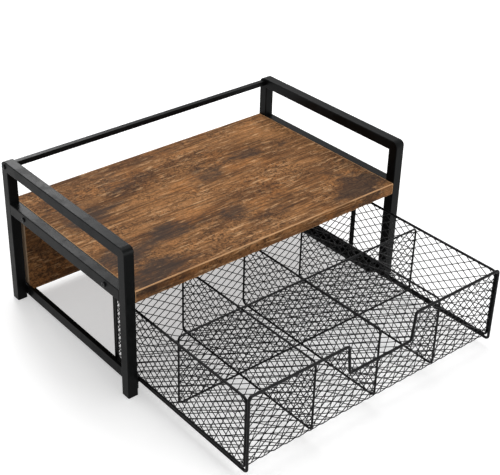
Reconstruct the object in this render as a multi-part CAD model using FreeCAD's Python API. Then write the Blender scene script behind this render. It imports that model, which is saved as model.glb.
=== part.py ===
import FreeCAD, Part
import math
import os

os.makedirs("parts", exist_ok=True)

# Tea bag drawer box: two side frames of square steel tube carry a wooden shelf,
# and a divided wire basket drawer slides on steel angles under the shelf.
#
# Millimetres. X runs from the left side to the right, Y from the front to the
# back and Z up. The origin is on the table, under the middle of the box with
# its drawer drawn out.

# Side frames of square steel tube
frame_width = 406.0
frame_depth = 250.0
frame_height = 190.0
tube_size = 12.7
tube_wall = 1.2
tube_edge_radius = 1.0
frame_corner_radius = 8.0
shelf_rail_height = 14.0
shelf_rail_top = 136.0

# Wooden shelf and back panel
shelf_thickness = 15.0
shelf_edge_radius = 1.5
panel_thickness = 8.0

# Guard bar behind the shelf
guard_bar_size = 6.2
guard_bar_drop = 6.8

# Runners: steel angle, one leg against the frame and one leg under the drawer
runner_leg = 12.7
runner_thickness = 3.2
runner_height = 5.0
runner_front_inset = 4.0
runner_back_inset = 2.0

# Pan-head screws
screw_shank = 3.0
screw_head = 6.0
screw_head_height = 1.8
screw_head_rounding = 0.8
screw_recess_width = 0.8
screw_recess_depth = 1.0
screw_recess_length = 3.2
screw_hole_clearance = 0.1
shelf_screw_length = 30.0
shelf_screw_front_inset = 39.7
shelf_screw_back_inset = 42.5
guard_screw_length = 24.0

# Wire basket drawer
drawer_travel = 180.0
drawer_back_gap = 1.0
drawer_depth = 231.6
drawer_side_play = 4.05
drawer_rail_height = 97.8
seat_gap = 0.3
rail_wire = 3.3
rail_bend = 4.0
side_wire = 3.0
side_bend = 5.0
side_loop_height = 90.4

# Notch in the middle of the drawer's front rail
notch_top_width = 98.0
notch_bottom_width = 91.0
notch_depth = 35.7

# Diamond wire mesh
mesh_long = 16.5
mesh_short = 11.0
mesh_strand = 0.9
mesh_thickness = 0.8
mesh_fold_radius = 7.5
mesh_fold_flats = 6

# Divider loops
divider_count = 3
divider_wire = 2.4
divider_top_bend = 5.0
cross_setback = 118.8
cross_end_gap = 3.0
cross_bend = 5.0

X_AXIS = FreeCAD.Vector(1, 0, 0)
Y_AXIS = FreeCAD.Vector(0, 1, 0)
Z_AXIS = FreeCAD.Vector(0, 0, 1)

# Planes and centre lines that several pieces share. The drawer is drawn out, so
# its back stands one travel and one gap in front of the back panel.
half_width = frame_width / 2
inner_half_width = half_width - tube_size
drawer_overhang = drawer_travel + drawer_depth + drawer_back_gap + tube_size - frame_depth
front_y = (drawer_overhang - frame_depth) / 2
back_y = front_y + frame_depth
panel_front_y = back_y - tube_size
shelf_bottom = shelf_rail_top - shelf_thickness
runner_top = runner_height + runner_thickness
runner_face = inner_half_width - runner_thickness
guard_bar_z = frame_height - guard_bar_drop
guard_bar_y = back_y - tube_size / 2
shelf_screw_z = shelf_rail_top - shelf_rail_height / 2

drawer_half_width = runner_face - drawer_side_play
rail_x = drawer_half_width - rail_wire / 2
rail_front_y = front_y - drawer_overhang + rail_wire / 2
rail_back_y = panel_front_y - drawer_back_gap - drawer_travel - rail_wire / 2
rail_low_z = runner_top + seat_gap + rail_wire / 2
rail_high_z = rail_low_z + drawer_rail_height - rail_wire

side_x = drawer_half_width - side_wire / 2
side_front_y = rail_front_y + rail_wire / 2 + seat_gap + side_wire / 2
side_back_y = rail_back_y - rail_wire / 2 - seat_gap - side_wire / 2
side_low_z = rail_low_z + rail_wire / 2 + seat_gap + side_wire / 2
side_high_z = side_low_z + side_loop_height - side_wire

# The mesh strip lies inside the rail wire: front, floor and back in one strip.
strip_half_width = rail_x - rail_wire / 2
strip_front_y = rail_front_y + rail_wire / 2 + seat_gap + mesh_thickness / 2
strip_back_y = rail_back_y - rail_wire / 2 - seat_gap - mesh_thickness / 2
strip_low_z = (rail_low_z + side_low_z) / 2
strip_fold_z = strip_low_z + mesh_fold_radius
strip_fold_front_y = strip_front_y + mesh_fold_radius
strip_fold_back_y = strip_back_y - mesh_fold_radius

divider_pitch = 2 * side_x / (divider_count + 1)
divider_front_y = strip_front_y + mesh_thickness / 2 + seat_gap + divider_wire / 2
divider_back_y = strip_back_y - mesh_thickness / 2 - seat_gap - divider_wire / 2
divider_low_z = strip_low_z + mesh_thickness / 2 + seat_gap + divider_wire / 2
divider_high_z = side_high_z + (side_wire - divider_wire) / 2
divider_foot_bend = mesh_fold_radius - mesh_thickness / 2 - seat_gap - divider_wire / 2

cross_y = rail_front_y + cross_setback
cross_half_width = side_x - side_wire / 2 - cross_end_gap - divider_wire / 2
cross_low_z = divider_low_z + divider_wire + seat_gap
cross_high_z = divider_high_z + divider_wire + seat_gap


def block(x0, x1, y0, y1, z0, z1):
    """A box between two corners."""
    corner = FreeCAD.Vector(x0, y0, z0)
    return Part.makeBox(x1 - x0, y1 - y0, z1 - z0, corner)


def mirrored(shape):
    """The same piece on the other side of the box."""
    return shape.mirror(FreeCAD.Vector(0, 0, 0), X_AXIS)


def bent_line(points, bends):
    """A closed line through the points, with a tangent arc at each of them."""
    starts = []
    ends = []
    edges = []
    for index, point in enumerate(points):
        before = (points[index - 1] - point).normalize()
        after = (points[(index + 1) % len(points)] - point).normalize()
        half_angle = before.getAngle(after) / 2
        bend = bends[index]
        starts.append(point + before * (bend / math.tan(half_angle)))
        ends.append(point + after * (bend / math.tan(half_angle)))
        if bend > 0:
            inward = (before + after).normalize()
            middle = point + inward * (bend / math.sin(half_angle) - bend)
            edges.append(Part.Arc(starts[index], middle, ends[index]).toShape())
        if index > 0:
            edges.append(Part.LineSegment(ends[index - 1], starts[index]).toShape())
    edges.append(Part.LineSegment(ends[-1], starts[0]).toShape())
    return Part.Wire(Part.__sortEdges__(edges))


def bent_rod(points, bends, diameter):
    """A closed loop of round wire."""
    path = bent_line(points, bends)
    start_edge = path.OrderedEdges[0]
    start = path.OrderedVertexes[0].Point
    direction = start_edge.tangentAt(start_edge.FirstParameter)
    section = Part.Circle(start, direction, diameter / 2).toShape()
    return path.makePipe(Part.Face(Part.Wire(section)))


def upright_rectangle(x, y0, y1, z0, z1):
    """Corners of a rectangle that stands across the X axis."""
    return [
        FreeCAD.Vector(x, y0, z0),
        FreeCAD.Vector(x, y1, z0),
        FreeCAD.Vector(x, y1, z1),
        FreeCAD.Vector(x, y0, z1),
    ]


def save(node, shape):
    shape.exportStep("parts/" + node + ".step")


# Side frames

def tube_profile(width, height, radius):
    """A square tube's outline around the middle of its section, lying in XZ."""
    corners = [
        FreeCAD.Vector(-width / 2, 0, -height / 2),
        FreeCAD.Vector(width / 2, 0, -height / 2),
        FreeCAD.Vector(width / 2, 0, height / 2),
        FreeCAD.Vector(-width / 2, 0, height / 2),
    ]
    return Part.Face(bent_line(corners, [radius] * 4))


def tube_along_y(width, height, length):
    """A square tube of the given length, open at both ends, that starts at Y = 0."""
    outside = tube_profile(width, height, tube_edge_radius).extrude(Y_AXIS * length)
    hollow_width = width - 2 * tube_wall
    hollow_height = height - 2 * tube_wall
    hollow = block(-hollow_width / 2, hollow_width / 2, -1, length + 1, -hollow_height / 2, hollow_height / 2)
    return outside.cut(hollow)


def side_outline():
    """The side frame's outline, with its two top corners rounded."""
    corners = upright_rectangle(half_width - tube_size, front_y, back_y, -1, frame_height)
    outline = Part.Face(bent_line(corners, [0, 0, frame_corner_radius, frame_corner_radius]))
    return outline.extrude(X_AXIS * tube_size)


def side_hollow():
    """The hollow that runs up the front leg, along the top rail and down the back leg."""
    x = half_width - tube_size + tube_wall
    bend = frame_corner_radius - tube_wall
    corners = upright_rectangle(
        x, front_y + tube_wall, back_y - tube_wall, tube_wall, frame_height - tube_wall)
    outline = Part.Face(bent_line(corners, [0, 0, bend, bend]))
    between_legs = block(
        half_width - tube_size,
        half_width,
        front_y + tube_size - tube_wall,
        back_y - tube_size + tube_wall,
        0,
        frame_height - tube_size + tube_wall,
    )
    return outline.extrude(X_AXIS * (tube_size - 2 * tube_wall)).cut(between_legs)


def top_wedge():
    """The part of the side frame that the top rail takes, mitred at both ends."""
    x = half_width - tube_size
    corners = [
        FreeCAD.Vector(x, front_y, frame_height),
        FreeCAD.Vector(x, back_y, frame_height),
        FreeCAD.Vector(x, back_y - tube_size, frame_height - tube_size),
        FreeCAD.Vector(x, front_y + tube_size, frame_height - tube_size),
        FreeCAD.Vector(x, front_y, frame_height),
    ]
    return Part.Face(Part.makePolygon(corners)).extrude(X_AXIS * tube_size)


def screw_hole(y, z, depth):
    """A hole from the side frame's outer face inwards."""
    radius = screw_shank / 2 + screw_hole_clearance
    start = FreeCAD.Vector(half_width, y, z)
    return Part.makeCylinder(radius, depth, start, X_AXIS * -1)


def guard_screw_hole():
    return screw_hole(guard_bar_y, guard_bar_z, guard_screw_length + 1)


def shelf_screw_holes():
    holes = []
    for y in shelf_screw_rows():
        holes.append(screw_hole(y, shelf_screw_z, shelf_screw_length + 1))
    return holes


def shelf_screw_rows():
    return [front_y + shelf_screw_front_inset, back_y - shelf_screw_back_inset]


def leg(outer_y, inner_y):
    """A leg of the right frame, closed at its foot and mitred at its top."""
    low_y = min(outer_y, inner_y)
    middle = FreeCAD.Vector(half_width - tube_size / 2, low_y + tube_size / 2, 0)
    profile = tube_profile(tube_size, tube_size, tube_edge_radius)
    profile.rotate(FreeCAD.Vector(0, 0, 0), X_AXIS, 90)
    profile.translate(middle)
    outside = profile.extrude(Z_AXIS * frame_height)
    return outside.common(side_outline()).cut(top_wedge()).cut(side_hollow())


def top_rail():
    outside = tube_profile(tube_size, tube_size, tube_edge_radius).extrude(Y_AXIS * frame_depth)
    outside.translate(FreeCAD.Vector(half_width - tube_size / 2, front_y, frame_height - tube_size / 2))
    rail = outside.common(top_wedge()).common(side_outline())
    return rail.cut(side_hollow()).cut(guard_screw_hole())


def shelf_rail():
    """The rail that the shelf is screwed to, between the two legs."""
    tube = tube_along_y(tube_size, shelf_rail_height, frame_depth - 2 * tube_size)
    tube.translate(FreeCAD.Vector(half_width - tube_size / 2, front_y + tube_size, shelf_screw_z))
    return tube.cut(shelf_screw_holes())


def runner():
    """The steel angle under the drawer's right side, lapped over both legs."""
    start = front_y + runner_front_inset
    end = back_y - runner_back_inset
    upright = block(runner_face, inner_half_width, start, end, runner_height, runner_height + runner_leg)
    flange_start = front_y + tube_size
    flange_edge = inner_half_width - runner_leg
    flange = block(flange_edge, inner_half_width, flange_start, end, runner_height, runner_top)
    return upright.fuse(flange).removeSplitter()


# Shelf, back panel and guard bar

def shelf_board():
    """The wooden shelf between the two frames, its long edges rounded."""
    board = block(-inner_half_width, inner_half_width, front_y, back_y, shelf_bottom, shelf_rail_top)
    long_edges = []
    for edge in board.Edges:
        if abs(edge.tangentAt(edge.FirstParameter).x) > 0.9:
            long_edges.append(edge)
    board = board.makeFillet(shelf_edge_radius, long_edges)
    for hole in shelf_screw_holes():
        board = board.cut(hole).cut(mirrored(hole))
    return board


def back_panel():
    """The panel between the back legs, stood on the runners under the shelf."""
    half_panel = runner_face - seat_gap
    panel_back_y = panel_front_y + panel_thickness
    return block(-half_panel, half_panel, panel_front_y, panel_back_y, runner_top, shelf_bottom)


def guard_bar():
    half_bar = guard_bar_size / 2
    bar = block(
        -inner_half_width,
        inner_half_width,
        guard_bar_y - half_bar,
        guard_bar_y + half_bar,
        guard_bar_z - half_bar,
        guard_bar_z + half_bar,
    )
    return bar.cut(guard_screw_hole()).cut(mirrored(guard_screw_hole()))


def screw(y, z, length):
    """A pan-head screw, driven in from the right frame's outer face."""
    seat = FreeCAD.Vector(half_width, y, z)
    head = Part.makeCylinder(screw_head / 2, screw_head_height, seat, X_AXIS)
    rim = [edge for edge in head.Edges if edge.CenterOfMass.x > half_width + screw_head_height * 0.9]
    head = head.makeFillet(screw_head_rounding, rim)
    point_length = screw_shank
    shank = Part.makeCylinder(screw_shank / 2, length - point_length, seat, X_AXIS * -1)
    point_start = FreeCAD.Vector(half_width - length + point_length, y, z)
    point = Part.makeCone(screw_shank / 2, screw_shank / 10, point_length, point_start, X_AXIS * -1)
    recess_floor = half_width + screw_head_height - screw_recess_depth
    reach = screw_recess_length / 2
    slot = screw_recess_width / 2
    top = half_width + screw_head_height + 1
    upright_slot = block(recess_floor, top, y - slot, y + slot, z - reach, z + reach)
    level_slot = block(recess_floor, top, y - reach, y + reach, z - slot, z + slot)
    return head.fuse([shank, point]).removeSplitter().cut(upright_slot).cut(level_slot)


def both_sides(shapes):
    """A group of the given pieces and their mirror images."""
    return Part.makeCompound(shapes + [mirrored(shape) for shape in shapes])


# Drawer wires

def side_loop():
    """The right side's loop, inside the rail wire."""
    corners = upright_rectangle(side_x, side_front_y, side_back_y, side_low_z, side_high_z)
    return bent_rod(corners, [side_bend] * 4, side_wire)


def notch_corners(side):
    """Where the front rail turns down into the notch and along its floor."""
    notch_z = rail_high_z - notch_depth
    top = FreeCAD.Vector(side * notch_top_width / 2, rail_front_y, rail_high_z)
    bottom = FreeCAD.Vector(side * notch_bottom_width / 2, rail_front_y, notch_z)
    return [top, bottom]


def rail_loop():
    """One wire: front rail with its notch, down each side, and the back rail."""
    corners = [FreeCAD.Vector(-rail_x, rail_front_y, rail_high_z)]
    corners += notch_corners(-1)
    corners += reversed(notch_corners(1))
    corners += [
        FreeCAD.Vector(rail_x, rail_front_y, rail_high_z),
        FreeCAD.Vector(rail_x, rail_front_y, rail_low_z),
        FreeCAD.Vector(rail_x, rail_back_y, rail_low_z),
        FreeCAD.Vector(rail_x, rail_back_y, rail_high_z),
        FreeCAD.Vector(-rail_x, rail_back_y, rail_high_z),
        FreeCAD.Vector(-rail_x, rail_back_y, rail_low_z),
        FreeCAD.Vector(-rail_x, rail_front_y, rail_low_z),
    ]
    return bent_rod(corners, [rail_bend] * len(corners), rail_wire)


def divider_positions():
    """Where the divider loops stand, evenly spaced between the two sides."""
    return [(number + 1) * divider_pitch - side_x for number in range(divider_count)]


def divider_loop(x):
    corners = upright_rectangle(x, divider_front_y, divider_back_y, divider_low_z, divider_high_z)
    bends = [divider_foot_bend, divider_foot_bend, divider_top_bend, divider_top_bend]
    return bent_rod(corners, bends, divider_wire)


def cross_loop():
    """The loop that stands across the dividers, one wire higher than they are."""
    corners = [
        FreeCAD.Vector(-cross_half_width, cross_y, cross_low_z),
        FreeCAD.Vector(cross_half_width, cross_y, cross_low_z),
        FreeCAD.Vector(cross_half_width, cross_y, cross_high_z),
        FreeCAD.Vector(-cross_half_width, cross_y, cross_high_z),
    ]
    return bent_rod(corners, [cross_bend] * 4, divider_wire)


# Drawer mesh. Each flat sheet lies in a plane that is given by an origin, the
# direction of its diamonds' long diagonals and that of their short diagonals.

def plane_point(plane, u, v):
    return plane[0] + plane[1] * u + plane[2] * v


def plane_sides(plane, points):
    """The lowest and highest of the points' places along the plane's two directions."""
    along = [(point - plane[0]).dot(plane[1]) for point in points]
    across = [(point - plane[0]).dot(plane[2]) for point in points]
    return min(along), max(along), min(across), max(across)


def turns_left(plane, wire):
    """Whether a closed wire in the plane runs anticlockwise."""
    points = [vertex.Point - plane[0] for vertex in wire.OrderedVertexes]
    area = 0
    for index, point in enumerate(points):
        before = points[index - 1]
        area += before.dot(plane[1]) * point.dot(plane[2])
        area -= point.dot(plane[1]) * before.dot(plane[2])
    return area > 0


def diamond_reach():
    """Half of an opening's long and short diagonal, between the strands."""
    slope = math.atan2(mesh_short, mesh_long)
    half_long = mesh_long / 2 - mesh_strand / 2 / math.sin(slope)
    half_short = mesh_short / 2 - mesh_strand / 2 / math.cos(slope)
    return half_long, half_short


def diamond_corners(u, v):
    half_long, half_short = diamond_reach()
    return [(u + half_long, v), (u, v + half_short), (u - half_long, v), (u, v - half_short)]


def diamond_middles(low_u, high_u, low_v, high_v):
    """The middles of the openings that reach into a rectangle of the plane."""
    middles = []
    for row in range(math.floor(low_u / mesh_long * 2), math.ceil(high_u / mesh_long * 2) + 1):
        for column in range(math.floor(low_v / mesh_short * 2), math.ceil(high_v / mesh_short * 2) + 1):
            if (row + column) % 2 == 0:
                middles.append((row * mesh_long / 2, column * mesh_short / 2))
    return middles


def mesh_openings(plane, outline):
    """The openings inside an outline, those at its edge cut short by an edge strand."""
    inside = outline.makeOffset2D(-mesh_strand)
    edge = inside.OuterWire
    whole = []
    partial = []
    for u, v in diamond_middles(*plane_sides(plane, [vertex.Point for vertex in inside.Vertexes])):
        corners = [plane_point(plane, *corner) for corner in diamond_corners(u, v)]
        wire = Part.makePolygon(corners + corners[:1])
        middle = plane_point(plane, u, v)
        if Part.Vertex(middle).distToShape(edge)[0] < mesh_long / 2:
            partial.append(Part.Face(wire))
        elif inside.isInside(middle, 0.001, True):
            whole.append(wire)
    cut_short = Part.makeCompound(partial).common(inside).Faces
    return whole + [face.OuterWire for face in cut_short if face.Area > mesh_strand * mesh_strand]


def mesh_sheet(plane, outline):
    """A flat sheet of wire mesh with diamond openings, centred on its plane."""
    wires = [outline.OuterWire]
    for wire in mesh_openings(plane, outline):
        if turns_left(plane, wire) == turns_left(plane, outline.OuterWire):
            wire.reverse()
        wires.append(wire)
    normal = plane[1].cross(plane[2])
    sheet = Part.Face(wires).extrude(normal * mesh_thickness)
    sheet.translate(normal * (-mesh_thickness / 2))
    return sheet


def plane_rectangle(plane, low_u, high_u, low_v, high_v, bends):
    """A rectangular outline in the plane, with bends at its four corners."""
    corners = [(low_u, low_v), (high_u, low_v), (high_u, high_v), (low_u, high_v)]
    points = [plane_point(plane, *corner) for corner in corners]
    return Part.Face(bent_line(points, bends))


def side_mesh():
    """The mesh that fills the right side's loop."""
    plane = (FreeCAD.Vector(side_x, side_front_y, side_low_z), Y_AXIS, Z_AXIS)
    margin = side_wire / 2 + seat_gap
    width = side_back_y - side_front_y - margin
    height = side_high_z - side_low_z - margin
    outline = plane_rectangle(plane, margin, width, margin, height, [side_bend - margin] * 4)
    return mesh_sheet(plane, outline)


def floor_mesh():
    plane = (FreeCAD.Vector(0, strip_fold_front_y, strip_low_z), Y_AXIS, X_AXIS)
    length = strip_fold_back_y - strip_fold_front_y
    outline = plane_rectangle(plane, 0, length, -strip_half_width, strip_half_width, [0] * 4)
    return mesh_sheet(plane, outline)


def back_mesh():
    plane = (FreeCAD.Vector(0, strip_back_y, strip_fold_z), Z_AXIS, X_AXIS)
    height = rail_high_z - strip_fold_z
    outline = plane_rectangle(plane, 0, height, -strip_half_width, strip_half_width, [0] * 4)
    return mesh_sheet(plane, outline)


def front_mesh():
    """The front of the strip, cut out along the notch in the rail."""
    plane = (FreeCAD.Vector(0, strip_front_y, strip_fold_z), Z_AXIS, X_AXIS)
    corners = [FreeCAD.Vector(-strip_half_width, rail_front_y, rail_high_z)]
    corners += notch_corners(-1)
    corners += reversed(notch_corners(1))
    corners += [
        FreeCAD.Vector(strip_half_width, rail_front_y, rail_high_z),
        FreeCAD.Vector(strip_half_width, rail_front_y, strip_fold_z),
        FreeCAD.Vector(-strip_half_width, rail_front_y, strip_fold_z),
    ]
    outline = Part.Face(bent_line(corners, [0, rail_bend, rail_bend, rail_bend, rail_bend, 0, 0, 0]))
    outline.translate(Y_AXIS * (strip_front_y - rail_front_y))
    return mesh_sheet(plane, outline)


def cropped(corners, axis, limit, keep_above):
    """The part of a flat shape that lies on one side of a limit."""
    kept = []
    for index, corner in enumerate(corners):
        before = corners[index - 1]
        before_in = (before[axis] >= limit) == keep_above
        corner_in = (corner[axis] >= limit) == keep_above
        if before_in != corner_in:
            share = (limit - before[axis]) / (corner[axis] - before[axis])
            kept.append(tuple(before[part] + (corner[part] - before[part]) * share for part in (0, 1)))
        if corner_in:
            kept.append(corner)
    return kept


def flat_area(corners):
    """The area that a list of corners encloses."""
    area = 0
    for index, corner in enumerate(corners):
        before = corners[index - 1]
        area += before[0] * corner[1] - corner[0] * before[1]
    return abs(area) / 2


def fold_openings(length):
    """The openings in a fold, as corners along the bend and across the strip."""
    openings = []
    for u, v in diamond_middles(0, length, -strip_half_width, strip_half_width):
        corners = diamond_corners(u, v)
        corners = cropped(corners, 0, mesh_strand, True)
        corners = cropped(corners, 0, length - mesh_strand, False)
        corners = cropped(corners, 1, mesh_strand - strip_half_width, True)
        corners = cropped(corners, 1, strip_half_width - mesh_strand, False)
        if flat_area(corners) > mesh_strand * mesh_strand:
            openings.append(corners)
    return openings


def mesh_fold():
    """The quarter turn between the strip's front and its floor, in short flats."""
    centre = FreeCAD.Vector(-strip_half_width, strip_fold_front_y, strip_fold_z)
    outer = []
    inner = []
    for step in range(mesh_fold_flats + 1):
        turn = math.pi / 2 * step / mesh_fold_flats
        direction = FreeCAD.Vector(0, -math.cos(turn), -math.sin(turn))
        outer.append(centre + direction * (mesh_fold_radius + mesh_thickness / 2))
        inner.append(centre + direction * (mesh_fold_radius - mesh_thickness / 2))
    outline = outer + inner[::-1] + outer[:1]
    sheet = Part.Face(Part.makePolygon(outline)).extrude(X_AXIS * (2 * strip_half_width))
    outward = FreeCAD.Vector(0, -1, -1).normalize()
    downward = FreeCAD.Vector(0, 1, -1).normalize()
    middle = centre + X_AXIS * strip_half_width
    cutters = []
    for corners in fold_openings(mesh_fold_radius * math.pi / 2):
        points = []
        for along, across in corners:
            turn = along / mesh_fold_radius
            aside = math.sin(turn - math.pi / 4) * mesh_fold_radius
            point = middle + X_AXIS * across + downward * aside
            points.append(point + outward * (mesh_fold_radius / 2))
        face = Part.Face(Part.makePolygon(points + points[:1]))
        cutters.append(face.extrude(outward * mesh_fold_radius))
    return sheet.cut(Part.makeCompound(cutters))


def back_fold():
    """The same turn between the floor and the back."""
    fold = mesh_fold()
    middle = FreeCAD.Vector(0, (strip_fold_front_y + strip_fold_back_y) / 2, 0)
    return fold.mirror(middle, Y_AXIS)


def divider_mesh(x):
    """The mesh that fills a divider loop, slotted where the cross loop passes."""
    plane = (FreeCAD.Vector(x, divider_front_y, divider_low_z), Y_AXIS, Z_AXIS)
    margin = divider_wire / 2 + seat_gap
    depth = divider_back_y - divider_front_y - margin
    height = divider_high_z - divider_low_z - margin
    foot = divider_foot_bend - margin
    top = divider_top_bend - margin
    outline = plane_rectangle(plane, margin, depth, margin, height, [foot, foot, top, top])
    slot_middle = cross_y - divider_front_y
    slot_top = cross_low_z - divider_low_z + margin
    slot = plane_rectangle(plane, slot_middle - margin, slot_middle + margin, 0, slot_top, [0] * 4)
    return mesh_sheet(plane, outline.cut(slot).Faces[0])


def cross_mesh():
    """The mesh in the cross loop, one sheet between each two dividers."""
    plane = (FreeCAD.Vector(0, cross_y, cross_low_z), X_AXIS, Z_AXIS)
    margin = divider_wire / 2 + seat_gap
    end = cross_half_width - margin
    corner = cross_bend - margin
    height = cross_high_z - cross_low_z - margin
    lefts = [-end] + [x + margin for x in divider_positions()]
    rights = [x - margin for x in divider_positions()] + [end]
    sheets = []
    for left, right in zip(lefts, rights):
        left_bend = corner if left == -end else 0
        right_bend = corner if right == end else 0
        bends = [left_bend, right_bend, right_bend, left_bend]
        sheets.append(mesh_sheet(plane, plane_rectangle(plane, left, right, margin, height, bends)))
    return Part.makeCompound(sheets)


right_side = {
    "front_leg": leg(front_y, front_y + tube_size),
    "back_leg": leg(back_y, back_y - tube_size).cut(guard_screw_hole()),
    "top_rail": top_rail(),
    "shelf_rail": shelf_rail(),
    "runner": runner(),
    "drawer_side_loop": side_loop(),
    "drawer_side_mesh": side_mesh(),
}
for name, piece in right_side.items():
    save("right_" + name, piece)
    save("left_" + name, mirrored(piece))

save("shelf_board", shelf_board())
save("back_panel", back_panel())
save("guard_bar", guard_bar())
save("shelf_screws", both_sides([screw(y, shelf_screw_z, shelf_screw_length) for y in shelf_screw_rows()]))
save("guard_screws", both_sides([screw(guard_bar_y, guard_bar_z, guard_screw_length)]))

save("drawer_rail_loop", rail_loop())
save("drawer_front_mesh", front_mesh())
save("drawer_front_fold", mesh_fold())
save("drawer_floor_mesh", floor_mesh())
save("drawer_back_fold", back_fold())
save("drawer_back_mesh", back_mesh())
for number, position in enumerate(divider_positions(), 1):
    save("divider_loop_" + str(number), divider_loop(position))
    save("divider_mesh_" + str(number), divider_mesh(position))
save("cross_loop", cross_loop())
save("cross_mesh", cross_mesh())
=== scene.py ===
import math

import bmesh
import bpy
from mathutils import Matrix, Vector


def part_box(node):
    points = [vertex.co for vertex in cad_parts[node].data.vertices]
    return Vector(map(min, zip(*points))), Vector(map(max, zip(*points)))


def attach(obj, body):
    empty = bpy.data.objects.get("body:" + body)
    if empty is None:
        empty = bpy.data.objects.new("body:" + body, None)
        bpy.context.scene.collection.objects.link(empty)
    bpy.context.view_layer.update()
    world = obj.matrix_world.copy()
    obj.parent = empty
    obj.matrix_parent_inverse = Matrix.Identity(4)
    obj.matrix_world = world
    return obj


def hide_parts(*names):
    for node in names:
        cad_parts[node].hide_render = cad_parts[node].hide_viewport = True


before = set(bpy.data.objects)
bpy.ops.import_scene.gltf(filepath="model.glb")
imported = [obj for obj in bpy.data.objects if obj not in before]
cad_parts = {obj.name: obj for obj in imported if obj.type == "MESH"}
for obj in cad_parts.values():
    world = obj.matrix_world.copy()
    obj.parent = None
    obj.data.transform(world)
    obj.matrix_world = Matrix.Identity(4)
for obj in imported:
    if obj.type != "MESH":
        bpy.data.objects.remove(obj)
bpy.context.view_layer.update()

# Tea bag drawer box: black steel frame, rustic brown shelf and back panel, and a
# divided basket drawer of black wire. Metres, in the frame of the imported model.

MM = 0.001

# Wire mesh: diamonds of crimped wires that pass over and under each other
DIAMOND_LONG = 16.5 * MM
DIAMOND_SHORT = 11.0 * MM
STRAND_RADIUS = 0.52 * MM
STRAND_SIDES = 6
CRIMP = 0.2 * MM
SPARE_TILES = 2
MERGE = 0.01 * MM
MOST_RIM_SIDES = 24
SMOOTH_BELOW = math.radians(50)

# Round wires of the drawer, and the bend at the corners of its upright loops
RAIL_WIRE = 3.3 * MM
SIDE_WIRE = 3.0 * MM
DIVIDER_WIRE = 2.4 * MM
LOOP_BEND = 5.0 * MM

# The mesh strip makes the drawer's floor and turns up as its front, which has a notch, and back
FOLD_RADIUS = 7.5 * MM
FOLD_FLATS = 6
NOTCH_TOP = 98.0 * MM
NOTCH_BOTTOM = 91.0 * MM
NOTCH_DEPTH = 35.7 * MM
NOTCH_MARGIN = 20 * MM

# Scorched smudges of the boards: X, Y and reach in millimetres, and how dark they are.
# They reach further along the grain, which runs along X, than across it.
SMUDGES = (
    (150, -20, 46, 1.7), (-146, -20, 46, 1.5), (-168, 20, 40, 1.0), (-92, 34, 36, 0.85),
    (-20, 30, 30, 0.8), (33, 108, 42, 1.0), (112, 130, 38, 1.0), (-60, 165, 50, 1.0),
    (-146, 116, 46, 1.0))
SMUDGE_SQUEEZE = 0.62

# Wood colours, laid over the ground colour in this order: mask, screen colour and share
WOOD_GROUND = (164, 116, 73)
WOOD_LAYERS = (
    ("Bands", (103, 69, 43), 0.9),
    ("Embers", (178, 118, 66), 0.45),
    ("Mottling", (50, 34, 24), 0.86),
    ("Scratches", (214, 170, 124), 0.62),
    ("Lines", (50, 33, 22), 0.68),
    ("Smudges", (40, 33, 30), 0.8))
# Tan of the rounded edges: partly worn edge, partly a painted highlight where the edges catch the
# light
WORN_EDGE_AND_HIGHLIGHT = (196, 152, 110)
# Paler band at both ends of a board: partly its pale cut end, partly a painted highlight
END_BAND = 1.2 * MM
END_AND_HIGHLIGHT_SHARE = 0.8
WOOD_ROUGHNESS = 0.72
SMUDGE_ROUGHNESS = 0.6
WOOD_SPECULAR = 0.06

# How much of the worn colour shows in the speckle and in the rubbed patches of a coat,
# and how far its roughness falls and rises between sound and rubbed patches
SPECKLE_SHARE = 0.35
RUB_SHARE = 0.25
ROUGHNESS_FALL = 0.05
ROUGHNESS_RISE = 0.07

# Camera: millimetres of lens and sensor, degrees down from level and to the right
LENS = 82.655
SENSOR = 36
LENS_SHIFT = (0.11638, -0.0576)
CAMERA_PLACE = (-0.7429, -0.85405, 0.8065)
LOOKS_DOWN = 30.13
LOOKS_RIGHT = 37.48

# Light of the room, and the floor that fades to white away from the object
AMBIENT = 0.34
FLOOR_SIZE = 8
FLOOR_DROP = 0.0002
FLOOR_TONE = 0.72
FLOOR_GLOW = 0.46
FADE_START = 0.45
FADE_END = 1.3


# ---------------------------------------------------------------- modelling

def object_mode():
    """Leave edit mode, if it is on."""
    if bpy.context.mode != "OBJECT":
        bpy.ops.object.mode_set(mode="OBJECT")


def deselect_all():
    """Back to object mode with nothing selected."""
    object_mode()
    bpy.ops.object.select_all(action="DESELECT")


def take_up(piece):
    """Select one piece alone and make it active."""
    deselect_all()
    piece.select_set(True)
    bpy.context.view_layer.objects.active = piece


def edit(piece):
    """Open one piece in edit mode with all its points selected."""
    take_up(piece)
    bpy.ops.object.mode_set(mode="EDIT")
    bpy.ops.mesh.select_mode(type="VERT")
    bpy.ops.mesh.select_all(action="SELECT")


def pick(piece, wanted):
    """In edit mode, select the points whose place passes a test."""
    shape = bmesh.from_edit_mesh(piece.data)
    for point in shape.verts:
        point.select = wanted(point.co)
    shape.select_flush_mode()
    bmesh.update_edit_mesh(piece.data)


def cut_off(place, outward):
    """In edit mode, cut the piece at a plane and drop what is beyond it."""
    bpy.ops.mesh.select_all(action="SELECT")
    bpy.ops.mesh.bisect(plane_co=place, plane_no=outward, clear_outer=True)


def settled(piece):
    """Put a piece's place and turn into its mesh, and shade it smooth."""
    take_up(piece)
    bpy.ops.object.transform_apply(location=True, rotation=True, scale=True)
    bpy.ops.object.shade_smooth_by_angle(angle=SMOOTH_BELOW)
    return piece


def copied(piece, name):
    """A copy of a piece with a mesh of its own."""
    twin = piece.copy()
    twin.data = piece.data.copy()
    twin.name = name
    twin.data.name = name
    bpy.context.collection.objects.link(twin)
    return twin


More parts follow.
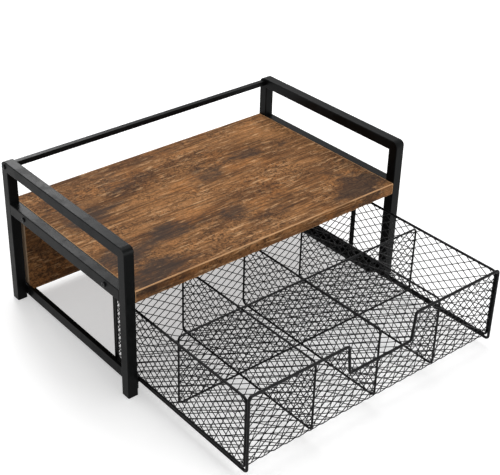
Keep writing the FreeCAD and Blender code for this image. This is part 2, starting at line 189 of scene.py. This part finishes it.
def repeated(piece, step, count):
    """The piece repeated in a row."""
    take_up(piece)
    row = piece.modifiers.new("Row", "ARRAY")
    row.use_relative_offset = False
    row.use_constant_offset = True
    row.constant_offset_displace = step
    row.count = count
    bpy.ops.object.modifier_apply(modifier=row.name)


# --------------------------------------------------------------- wire mesh

def crimped_wire(slope):
    """One wire across a mesh tile, corner to corner, its slope 1 up the tile or -1 down it."""
    lift = CRIMP * slope
    rises = (-lift, -lift, lift, lift)
    step = Vector((DIAMOND_LONG, DIAMOND_SHORT * slope, 0)) / len(rises)
    turn = math.atan2(step.y, step.x)
    start = Vector((-DIAMOND_LONG / 2, -DIAMOND_SHORT / 2 * slope, lift))
    deselect_all()
    bpy.ops.mesh.primitive_circle_add(
        vertices=STRAND_SIDES, radius=STRAND_RADIUS, fill_type="NOTHING",
        location=start, rotation=(0, math.pi / 2, turn))
    wire = bpy.context.object
    bpy.ops.object.transform_apply(location=True, rotation=True, scale=True)
    edit(wire)
    for rise in rises:
        bpy.ops.mesh.extrude_region_move(
            TRANSFORM_OT_translate={"value": (step.x, step.y, rise)})
    object_mode()
    return wire


def mesh_tile():
    """The two wires that cross in the middle of one tile of mesh."""
    tile = crimped_wire(1)
    crossing = crimped_wire(-1)
    take_up(tile)
    crossing.select_set(True)
    bpy.ops.object.join()
    tile.name = "mesh_tile"
    return tile


def flat_mesh(tile, name, width, height):
    """A flat sheet in XY, larger than asked, its middle at the origin, left in edit mode."""
    sheet = copied(tile, name)
    columns = math.ceil(width / DIAMOND_LONG) + SPARE_TILES
    rows = math.ceil(height / DIAMOND_SHORT) + SPARE_TILES
    repeated(sheet, (DIAMOND_LONG, 0, 0), columns)
    repeated(sheet, (0, DIAMOND_SHORT, 0), rows)
    middle = Vector(((columns - 1) * DIAMOND_LONG / 2, (rows - 1) * DIAMOND_SHORT / 2, 0))
    edit(sheet)
    bpy.ops.mesh.remove_doubles(threshold=MERGE)
    bpy.ops.transform.translate(value=-middle)
    return sheet


def crop_rectangle(low, high):
    """In edit mode, crop a sheet in XY between two corners."""
    cut_off((low[0], 0, 0), (-1, 0, 0))
    cut_off((high[0], 0, 0), (1, 0, 0))
    cut_off((0, low[1], 0), (0, -1, 0))
    cut_off((0, high[1], 0), (0, 1, 0))


def crop_corners(low, high, bend):
    """In edit mode, cut the four corners off where a bent wire rounds them."""
    inset = bend * (1 - math.sqrt(0.5))
    for x, side_x in ((low[0], -1), (high[0], 1)):
        for y, side_y in ((low[1], -1), (high[1], 1)):
            cut_off((x - side_x * inset, y - side_y * inset, 0), (side_x, side_y, 0))


def strands_of(shape):
    """The faces of each separate strand of a mesh."""
    found = set()
    for first in shape.faces:
        if first in found:
            continue
        found.add(first)
        strand = [first]
        for face in strand:
            for edge in face.edges:
                for neighbour in edge.link_faces:
                    if neighbour not in found:
                        found.add(neighbour)
                        strand.append(neighbour)
        yield strand


def close_strands(piece):
    """In edit mode, close each cut end with a fan and turn the faces of each strand outward."""
    bpy.ops.mesh.select_all(action="SELECT")
    bpy.ops.mesh.remove_doubles(threshold=MERGE)
    bpy.ops.mesh.select_all(action="DESELECT")
    bpy.ops.mesh.select_non_manifold(
        use_wire=False, use_multi_face=False, use_non_contiguous=False)
    bpy.ops.mesh.fill_holes(sides=MOST_RIM_SIDES)
    bpy.ops.mesh.poke()
    bpy.ops.mesh.select_all(action="SELECT")
    bpy.ops.mesh.normals_make_consistent(inside=False)
    bpy.ops.mesh.select_mode(type="FACE")
    bpy.ops.mesh.select_all(action="DESELECT")
    shape = bmesh.from_edit_mesh(piece.data)
    for strand in strands_of(shape):
        # Three times the volume inside, below zero where the faces point inward
        volume = sum(face.calc_center_median().dot(face.normal) * face.calc_area() for face in strand)
        for face in strand:
            face.select = volume < 0
    bmesh.update_edit_mesh(piece.data)
    bpy.ops.mesh.flip_normals()


# ------------------------------------------------------------ drawer sheets

def cut_notch(sheet, front_end):
    """In edit mode, cut the notch out of the strip's front edge while the strip is flat."""
    notch_end = front_end + NOTCH_DEPTH
    slant = (NOTCH_TOP - NOTCH_BOTTOM) / 2

    def around_notch(co):
        return co.y < notch_end + NOTCH_MARGIN and abs(co.x) < NOTCH_TOP / 2 + NOTCH_MARGIN

    def in_notch(co):
        half = NOTCH_TOP / 2 - slant * (co.y - front_end) / NOTCH_DEPTH
        return co.y < notch_end - MERGE and abs(co.x) < half - MERGE

    for place, normal in (
            ((0, notch_end, 0), (0, 1, 0)),
            ((NOTCH_TOP / 2, front_end, 0), (NOTCH_DEPTH, slant, 0)),
            ((-NOTCH_TOP / 2, front_end, 0), (-NOTCH_DEPTH, slant, 0))):
        pick(sheet, around_notch)
        bpy.ops.mesh.bisect(plane_co=place, plane_no=normal)
    pick(sheet, in_notch)
    bpy.ops.mesh.delete(type="VERT")


def fold_up(sheet, place, height, side):
    """In edit mode, turn the sheet beyond a line up by a quarter turn, in short flats."""
    flat = FOLD_RADIUS * math.pi / 2 / FOLD_FLATS
    lines = [place + side * flat * step for step in range(FOLD_FLATS + 1)]
    for line in lines:
        bpy.ops.mesh.select_all(action="SELECT")
        bpy.ops.mesh.bisect(plane_co=(0, line, 0), plane_no=(0, 1, 0))
    quarter = math.pi / 2 / FOLD_FLATS
    for line in reversed(lines):
        turn = quarter / 2 if line in (lines[0], lines[-1]) else quarter
        pick(sheet, lambda co: (co.y - line) * side > MERGE)
        bpy.ops.transform.rotate(
            value=-turn * side, orient_axis="X", orient_type="GLOBAL",
            center_override=(0, line, height))


def mesh_strip(tile):
    """The strip of mesh that makes the drawer's front, floor and back."""
    rail_high = Vector(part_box("drawer_rail_loop")[1])
    floor_low, floor_high = (Vector(corner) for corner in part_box("drawer_floor_mesh"))
    half_width = rail_high.x - RAIL_WIRE / 2
    top = rail_high.z - RAIL_WIRE / 2
    height = (floor_low.z + floor_high.z) / 2
    front_fold = floor_low.y
    back_fold = floor_high.y
    upright = top - (height + FOLD_RADIUS)
    bend_length = FOLD_RADIUS * math.pi / 2
    front_end = front_fold - bend_length - upright
    back_end = back_fold + bend_length + upright
    middle = (front_end + back_end) / 2

    sheet = flat_mesh(tile, "drawer_mesh_strip", 2 * half_width, back_end - front_end)
    bpy.ops.mesh.select_all(action="SELECT")
    bpy.ops.transform.translate(value=(0, middle, height))
    crop_rectangle((-half_width, front_end), (half_width, back_end))
    cut_notch(sheet, front_end)
    fold_up(sheet, front_fold, height, -1)
    fold_up(sheet, back_fold, height, 1)
    close_strands(sheet)
    return settled(sheet)


def loop_sheet(tile, name, loop, wire, front_to_back):
    """A sheet of mesh that fills one upright wire loop of the drawer, out to the wire's middle."""
    low, high = (Vector(corner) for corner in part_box(loop))
    size = high - low - Vector((wire, wire, wire))
    across = size.y if front_to_back else size.x
    sheet = flat_mesh(tile, name, across, size.z)
    lower = (-across / 2, -size.z / 2)
    upper = (across / 2, size.z / 2)
    crop_rectangle(lower, upper)
    crop_corners(lower, upper, LOOP_BEND)
    close_strands(sheet)
    sheet.rotation_euler = (math.pi / 2, 0, math.pi / 2 if front_to_back else 0)
    sheet.location = (low + high) / 2
    return settled(sheet)


# ----------------------------------------------------------- shader building

def srgb(red, green, blue):
    """A colour from its screen values, 0 to 255."""
    def linear(value):
        value /= 255
        return value / 12.92 if value <= 0.04045 else ((value + 0.055) / 1.055) ** 2.4
    return (linear(red), linear(green), linear(blue), 1)


def feed(tree, socket, value):
    """Give a socket a plain value, or link another socket to it."""
    if isinstance(value, bpy.types.NodeSocket):
        tree.links.new(value, socket)
    else:
        socket.default_value = value


def effect_group(name, inputs, outputs):
    """A node group with named sockets, and its input and output nodes."""
    tree = bpy.data.node_groups.new(name, "ShaderNodeTree")
    for label, kind, default in inputs:
        socket = tree.interface.new_socket(name=label, in_out="INPUT", socket_type=kind)
        if default is not None:
            socket.default_value = default
    for label in outputs:
        tree.interface.new_socket(name=label, in_out="OUTPUT", socket_type="NodeSocketFloat")
    return tree, tree.nodes.new("NodeGroupInput"), tree.nodes.new("NodeGroupOutput")


def placed(tree, group):
    """A node group placed in a material."""
    node = tree.nodes.new("ShaderNodeGroup")
    node.node_tree = group
    return node


def object_place(tree):
    """The place on the piece, the same whatever pose the drawer is in."""
    return tree.nodes.new("ShaderNodeTexCoord").outputs["Object"]


def stretched(tree, vector, scale, shift=(0, 0, 0)):
    """A place scaled along each axis, then moved."""
    mapping = tree.nodes.new("ShaderNodeMapping")
    mapping.inputs["Scale"].default_value = scale
    mapping.inputs["Location"].default_value = shift
    tree.links.new(vector, mapping.inputs["Vector"])
    return mapping.outputs["Vector"]


def noise(tree, vector, scale, detail, roughness, distortion=0.0):
    """Noise about 0.5; the scale is a socket or a plain number."""
    texture = tree.nodes.new("ShaderNodeTexNoise")
    texture.inputs["Detail"].default_value = detail
    texture.inputs["Roughness"].default_value = roughness
    texture.inputs["Distortion"].default_value = distortion
    tree.links.new(vector, texture.inputs["Vector"])
    feed(tree, texture.inputs["Scale"], scale)
    return texture.outputs["Fac"]


def figure(tree, place, scale, shift=(0, 0, 0), detail=3, roughness=0.6, distortion=0.0):
    """Noise drawn out along the wood's grain, the way in which its scale is smallest."""
    return noise(tree, stretched(tree, place, scale, shift), 1.0, detail, roughness, distortion)


def sums(tree, operation, *values):
    """A Math node on sockets or plain numbers."""
    node = tree.nodes.new("ShaderNodeMath")
    node.operation = operation
    for socket, value in zip(node.inputs, values):
        feed(tree, socket, value)
    return node.outputs["Value"]


def times(tree, first, second):
    """Two values multiplied."""
    return sums(tree, "MULTIPLY", first, second)


def swing(tree, value, strength):
    """Noise made to swing about 0 instead of 0.5, this many times as far."""
    return times(tree, sums(tree, "SUBTRACT", value, 0.5), strength)


def spread(tree, value, low, high, to_low=0.0, to_high=1.0):
    """A value from one range to another, smooth at both ends."""
    node = tree.nodes.new("ShaderNodeMapRange")
    node.interpolation_type = "SMOOTHSTEP"
    node.inputs["From Min"].default_value = low
    node.inputs["From Max"].default_value = high
    node.inputs["To Min"].default_value = to_low
    node.inputs["To Max"].default_value = to_high
    tree.links.new(value, node.inputs["Value"])
    return node.outputs["Result"]


def mixed(tree, amount, first, second):
    """A colour mix; the colours are sockets or plain colours."""
    node = tree.nodes.new("ShaderNodeMix")
    node.data_type = "RGBA"
    sockets = [socket for socket in node.inputs if socket.enabled]
    for socket, value in zip(sockets, (amount, first, second)):
        feed(tree, socket, value)
    return [socket for socket in node.outputs if socket.enabled][0]


def bump(tree, height, strength, distance):
    """The normal of a surface with this relief."""
    node = tree.nodes.new("ShaderNodeBump")
    node.inputs["Strength"].default_value = strength
    node.inputs["Distance"].default_value = distance
    tree.links.new(height, node.inputs["Height"])
    return node.outputs["Normal"]


# ---------------------------------------------------------- shared effects

def smudge_spots(tree, place):
    """How scorched the board is: most in the middle of each smudge, 0 away from them."""
    squeezed = stretched(tree, place, (SMUDGE_SQUEEZE, 1, 0))
    spots = None
    for x, y, reach, darkness in SMUDGES:
        distance = tree.nodes.new("ShaderNodeVectorMath")
        distance.operation = "DISTANCE"
        tree.links.new(squeezed, distance.inputs[0])
        distance.inputs[1].default_value = (x * SMUDGE_SQUEEZE * MM, y * MM, 0)
        spot = spread(tree, distance.outputs["Value"], 0.0, reach * MM, darkness, 0.0)
        spots = spot if spots is None else sums(tree, "MAXIMUM", spots, spot)
    return spots


def rustic_grain_group():
    """Wood grain along X: bands, mottling, fine lines, pale scratches, embers and smudges."""
    tree, start, end = effect_group(
        "Rustic Grain",
        [("Place", "NodeSocketVector", None), ("Shift", "NodeSocketVector", (0, 0, 0))],
        ["Bands", "Mottling", "Lines", "Scratches", "Smudges", "Embers", "Relief"])
    moved = tree.nodes.new("ShaderNodeVectorMath")
    moved.operation = "ADD"
    tree.links.new(start.outputs["Place"], moved.inputs[0])
    tree.links.new(start.outputs["Shift"], moved.inputs[1])
    place = moved.outputs["Vector"]

    # Soft bands of lighter and darker wood
    bands = figure(tree, place, (7, 30, 30), detail=5, distortion=0.9)
    tree.links.new(spread(tree, bands, 0.36, 0.64), end.inputs["Bands"])

    # Speckle, thicker where the board is rough
    coarse = figure(tree, place, (16, 24, 24), (0.4, 1.1, 0.2))
    rough_area = spread(tree, coarse, 0.4, 0.6)
    clouds = figure(tree, place, (130, 170, 170), detail=8, roughness=0.85, distortion=0.4)
    sand = figure(tree, place, (330, 380, 380), (0.2, 0.6, 0.1), roughness=0.7)
    mottling = sums(tree, "ADD", times(tree, clouds, 0.6), times(tree, sand, 0.4))
    speckle = spread(tree, mottling, 0.43, 0.57)
    thickness = spread(tree, rough_area, 0.0, 1.0, 0.45, 1.0)
    tree.links.new(times(tree, speckle, thickness), end.inputs["Mottling"])

    # Fine dark lines, fainter where the board is rough, and pale scratches
    streaks = figure(tree, place, (12, 330, 330), detail=5, roughness=0.7, distortion=0.25)
    clear_area = spread(tree, rough_area, 0.0, 1.0, 1.0, 0.35)
    tree.links.new(times(tree, spread(tree, streaks, 0.46, 0.6), clear_area), end.inputs["Lines"])
    scratches = figure(
        tree, place, (42, 260, 260), (0.7, 0.3, 0.9), detail=6, roughness=0.75, distortion=0.2)
    tree.links.new(spread(tree, scratches, 0.53, 0.65), end.inputs["Scratches"])

    # Scorched smudges with ragged edges, and patches of a warmer brown
    patches = figure(
        tree, place, (13, 21, 21), (3.1, 1.7, 0.4), detail=4, roughness=0.55, distortion=0.8)
    torn = figure(
        tree, place, (85, 150, 150), (1.3, 2.6, 0.8), detail=6, roughness=0.8, distortion=0.4)
    spots = smudge_spots(tree, start.outputs["Place"])
    drifting = sums(tree, "ADD", spots, swing(tree, patches, 3.2))
    scorched = sums(tree, "ADD", drifting, swing(tree, torn, 2.4))
    tree.links.new(spread(tree, scorched, 0.16, 1.2), end.inputs["Smudges"])
    embers = figure(tree, place, (15, 24, 24), (7.3, 0.7, 1.4), detail=4, distortion=0.6)
    tree.links.new(spread(tree, embers, 0.5, 0.66), end.inputs["Embers"])

    relief = sums(tree, "ADD", times(tree, mottling, 0.5), times(tree, streaks, 0.5))
    tree.links.new(relief, end.inputs["Relief"])
    return tree


def arris_wear_and_highlight_group():
    """How far a face turns away from the three main directions: 1 on rounded edges."""
    tree, start, end = effect_group(
        "Arris Wear And Highlight", [("Break Up", "NodeSocketFloat", 0.5)], ["Edge"])
    normal = tree.nodes.new("ShaderNodeNewGeometry").outputs["Normal"]
    parts = tree.nodes.new("ShaderNodeSeparateXYZ")
    tree.links.new(normal, parts.inputs[0])
    x, y, z = (sums(tree, "ABSOLUTE", parts.outputs[axis]) for axis in "XYZ")
    flat = sums(tree, "MAXIMUM", sums(tree, "MAXIMUM", x, y), z)
    edge = spread(tree, flat, 0.95, 0.999, 1.0, 0.0)
    tree.links.new(times(tree, edge, start.outputs["Break Up"]), end.inputs["Edge"])
    return tree


def baked_coat_group():
    """Speckle, fine orange peel and rubbed patches of a baked black coat."""
    tree, start, end = effect_group(
        "Baked Coat",
        [("Place", "NodeSocketVector", None), ("Grain", "NodeSocketFloat", 1800.0)],
        ["Speckle", "Relief", "Rub"])
    place = start.outputs["Place"]
    grain = start.outputs["Grain"]
    fine = noise(tree, place, grain, detail=2, roughness=0.5)
    tree.links.new(spread(tree, fine, 0.35, 0.7), end.inputs["Speckle"])
    cells = tree.nodes.new("ShaderNodeTexVoronoi")
    tree.links.new(place, cells.inputs["Vector"])
    tree.links.new(grain, cells.inputs["Scale"])
    peel = sums(tree, "ADD", fine, times(tree, cells.outputs["Distance"], 0.4))
    tree.links.new(peel, end.inputs["Relief"])
    rub = noise(tree, place, 38.0, detail=5, roughness=0.6, distortion=0.6)
    tree.links.new(spread(tree, rub, 0.4, 0.68), end.inputs["Rub"])
    return tree


# ------------------------------------------------------------- materials

def new_material(name):
    """A material, its node tree and its Principled shader."""
    material = bpy.data.materials.new(name)
    material.use_nodes = True
    tree = material.node_tree
    return material, tree, tree.nodes["Principled BSDF"]


def rustic_board(name, shift, end_and_highlight_colour, end_place):
    """Brown rustic board whose tan edges are partly worn and partly a painted highlight, and whose
    paler ends at end_place to both sides are partly pale cut ends and partly a painted highlight.
    """
    material, tree, shader = new_material(name)
    place = object_place(tree)
    wood = placed(tree, rustic_grain)
    tree.links.new(place, wood.inputs["Place"])
    wood.inputs["Shift"].default_value = shift

    colour = srgb(*WOOD_GROUND)
    for mask, tint, share in WOOD_LAYERS:
        colour = mixed(tree, times(tree, wood.outputs[mask], share), colour, srgb(*tint))

    # Tan on the rounded edges: partly wear, partly a painted highlight
    edge = placed(tree, arris_wear_and_highlight)
    tree.links.new(spread(tree, wood.outputs["Lines"], 0.0, 1.0, 0.9, 0.45), edge.inputs["Break Up"])
    colour = mixed(tree, edge.outputs["Edge"], colour, srgb(*WORN_EDGE_AND_HIGHLIGHT))
    # Paler ends of the board: partly pale cut ends, partly a painted highlight
    parts = tree.nodes.new("ShaderNodeSeparateXYZ")
    tree.links.new(place, parts.inputs[0])
    from_middle = sums(tree, "ABSOLUTE", parts.outputs["X"])
    near_end = spread(tree, from_middle, end_place - END_BAND, end_place)
    colour = mixed(tree, times(tree, near_end, END_AND_HIGHLIGHT_SHARE), colour, srgb(*end_and_highlight_colour))
    tree.links.new(colour, shader.inputs["Base Color"])

    rough = spread(tree, wood.outputs["Smudges"], 0.0, 1.0, WOOD_ROUGHNESS, SMUDGE_ROUGHNESS)
    tree.links.new(rough, shader.inputs["Roughness"])
    shader.inputs["Specular IOR Level"].default_value = WOOD_SPECULAR
    pores = bump(tree, wood.outputs["Relief"], strength=0.4, distance=0.4 * MM)
    tree.links.new(pores, shader.inputs["Normal"])
    return material


def black_coat(name, colour, worn, roughness, grain, specular):
    """Baked black coat on steel, a little paler and rougher where it is rubbed."""
    material, tree, shader = new_material(name)
    layer = placed(tree, baked_coat)
    tree.links.new(object_place(tree), layer.inputs["Place"])
    layer.inputs["Grain"].default_value = grain
    black = srgb(*colour)
    for mask, share in (("Speckle", SPECKLE_SHARE), ("Rub", RUB_SHARE)):
        black = mixed(tree, times(tree, layer.outputs[mask], share), black, srgb(*worn))
    tree.links.new(black, shader.inputs["Base Color"])
    rough = spread(
        tree, layer.outputs["Rub"], 0.0, 1.0, roughness - ROUGHNESS_FALL, roughness + ROUGHNESS_RISE)
    tree.links.new(rough, shader.inputs["Roughness"])
    shader.inputs["Specular IOR Level"].default_value = specular
    peel = bump(tree, layer.outputs["Relief"], strength=0.25, distance=0.12 * MM)
    tree.links.new(peel, shader.inputs["Normal"])
    return material


def finish(piece, material):
    """Give a piece this material alone."""
    piece.data.materials.clear()
    piece.data.materials.append(material)


# ------------------------------------------------------------------ pieces

tile = mesh_tile()
strip = mesh_strip(tile)
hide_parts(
    "drawer_front_mesh", "drawer_front_fold", "drawer_floor_mesh",
    "drawer_back_fold", "drawer_back_mesh")
sheets = [strip]
for side in ("left", "right"):
    sheet = loop_sheet(tile, side + "_side_mesh", side + "_drawer_side_loop", SIDE_WIRE, True)
    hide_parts(side + "_drawer_side_mesh")
    sheets.append(sheet)
for number in (1, 2, 3):
    sheet = loop_sheet(
        tile, "divider_%d_mesh" % number, "divider_loop_%d" % number, DIVIDER_WIRE, True)
    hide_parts("divider_mesh_%d" % number)
    sheets.append(sheet)
sheet = loop_sheet(tile, "cross_divider_mesh", "cross_loop", DIVIDER_WIRE, False)
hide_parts("cross_mesh")
sheets.append(sheet)
bpy.data.objects.remove(tile)

rustic_grain = rustic_grain_group()
arris_wear_and_highlight = arris_wear_and_highlight_group()
baked_coat = baked_coat_group()
frame_coat = black_coat(
    "Frame Powder Coat", colour=(9, 10, 10), worn=(25, 26, 27),
    roughness=0.34, grain=2200, specular=0.06)
wire_coat = black_coat(
    "Wire Coat", colour=(11, 11, 12), worn=(26, 26, 28),
    roughness=0.36, grain=2600, specular=0.12)
strand_coat = black_coat(
    "Mesh Coat", colour=(11, 11, 12), worn=(26, 26, 28),
    roughness=0.4, grain=2600, specular=0.15)
screw_coat = black_coat(
    "Blacked Screw", colour=(13, 13, 14), worn=(36, 36, 38),
    roughness=0.34, grain=3000, specular=0.25)
shelf_wood = rustic_board(
    "Shelf Board", shift=(0, 0, 0), end_and_highlight_colour=(196, 154, 112),
    end_place=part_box("shelf_board")[1][0])
panel_wood = rustic_board(
    "Back Panel", shift=(0.9, 0.31, 0.27), end_and_highlight_colour=(205, 178, 148),
    end_place=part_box("back_panel")[1][0])

for sheet in sheets:
    finish(sheet, strand_coat)
    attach(sheet, "drawer")


def node_material(node):
    """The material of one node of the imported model."""
    if node == "shelf_board":
        return shelf_wood
    if node == "back_panel":
        return panel_wood
    if node.endswith("_screws"):
        return screw_coat
    if node.endswith(("_leg", "_top_rail", "_shelf_rail", "_runner", "guard_bar")):
        return frame_coat
    return wire_coat


for node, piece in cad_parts.items():
    finish(piece, node_material(node))


# ---------------------------------------------------------- camera and light

def place_camera():
    """The camera, at the front left and above."""
    data = bpy.data.cameras.new("Camera")
    camera = bpy.data.objects.new("Camera", data)
    bpy.context.collection.objects.link(camera)
    data.sensor_width = SENSOR
    data.lens = LENS
    data.shift_x, data.shift_y = LENS_SHIFT
    camera.location = CAMERA_PLACE
    camera.rotation_euler = (math.radians(90 - LOOKS_DOWN), 0, math.radians(-LOOKS_RIGHT))
    bpy.context.scene.camera = camera


def soft_light(name, place, target, size, power):
    """A rectangular softbox of this size in metres and power in watts."""
    data = bpy.data.lights.new(name, "AREA")
    data.shape = "RECTANGLE"
    data.size, data.size_y = size
    data.energy = power
    light = bpy.data.objects.new(name, data)
    bpy.context.collection.objects.link(light)
    light.location = place
    aim = Vector(target) - Vector(place)
    light.rotation_euler = aim.to_track_quat("-Z", "Y").to_euler()


def seen_directly(tree):
    """1 for rays from the camera, a gloss or a glass, 0 for light on the object."""
    path = tree.nodes.new("ShaderNodeLightPath")
    seen = sums(tree, "MAXIMUM", path.outputs["Is Camera Ray"], path.outputs["Is Glossy Ray"])
    return sums(tree, "MAXIMUM", seen, path.outputs["Is Transmission Ray"])


def white_world():
    """A world that is seen as white and lights the object more softly."""
    world = bpy.data.worlds.new("White Room")
    bpy.context.scene.world = world
    world.use_nodes = True
    tree = world.node_tree
    background = tree.nodes["Background"]
    background.inputs["Color"].default_value = (1, 1, 1, 1)
    node = tree.nodes.new("ShaderNodeMapRange")
    node.inputs["To Min"].default_value = AMBIENT
    node.inputs["To Max"].default_value = 1.0
    tree.links.new(seen_directly(tree), node.inputs["Value"])
    tree.links.new(node.outputs["Result"], background.inputs["Strength"])


def pale_floor():
    """A pale floor that takes the object's shadow and fades to white away from it."""
    deselect_all()
    bpy.ops.mesh.primitive_plane_add(size=FLOOR_SIZE, location=(0, 0, -FLOOR_DROP))
    floor = bpy.context.object
    floor.name = "floor"
    material, tree, shader = new_material("Pale Floor")
    shader.inputs["Base Color"].default_value = (FLOOR_TONE, FLOOR_TONE, FLOOR_TONE, 1)
    shader.inputs["Roughness"].default_value = 0.9
    shader.inputs["Specular IOR Level"].default_value = 0.0
    shader.inputs["Emission Color"].default_value = (1, 1, 1, 1)
    distance = tree.nodes.new("ShaderNodeVectorMath")
    distance.operation = "LENGTH"
    tree.links.new(object_place(tree), distance.inputs[0])
    fade = spread(tree, distance.outputs["Value"], FADE_START, FADE_END, FLOOR_GLOW, 1.0)
    tree.links.new(times(tree, seen_directly(tree), fade), shader.inputs["Emission Strength"])
    finish(floor, material)


place_camera()
white_world()
soft_light(
    "Overhead softbox", place=(0.2, 0.2, 1.6), target=(0, 0, 0.1), size=(1.4, 1.2), power=13)
soft_light(
    "Back softbox", place=(0.35, 1.45, 1.15), target=(-0.1, 0, 0.1), size=(0.6, 0.9), power=15)
soft_light(
    "Front fill", place=(0.4, -1.9, 0.8), target=(0, 0, 0.1), size=(1.4, 1.0), power=21)
pale_floor()

bpy.context.scene.view_settings.view_transform = "Standard"
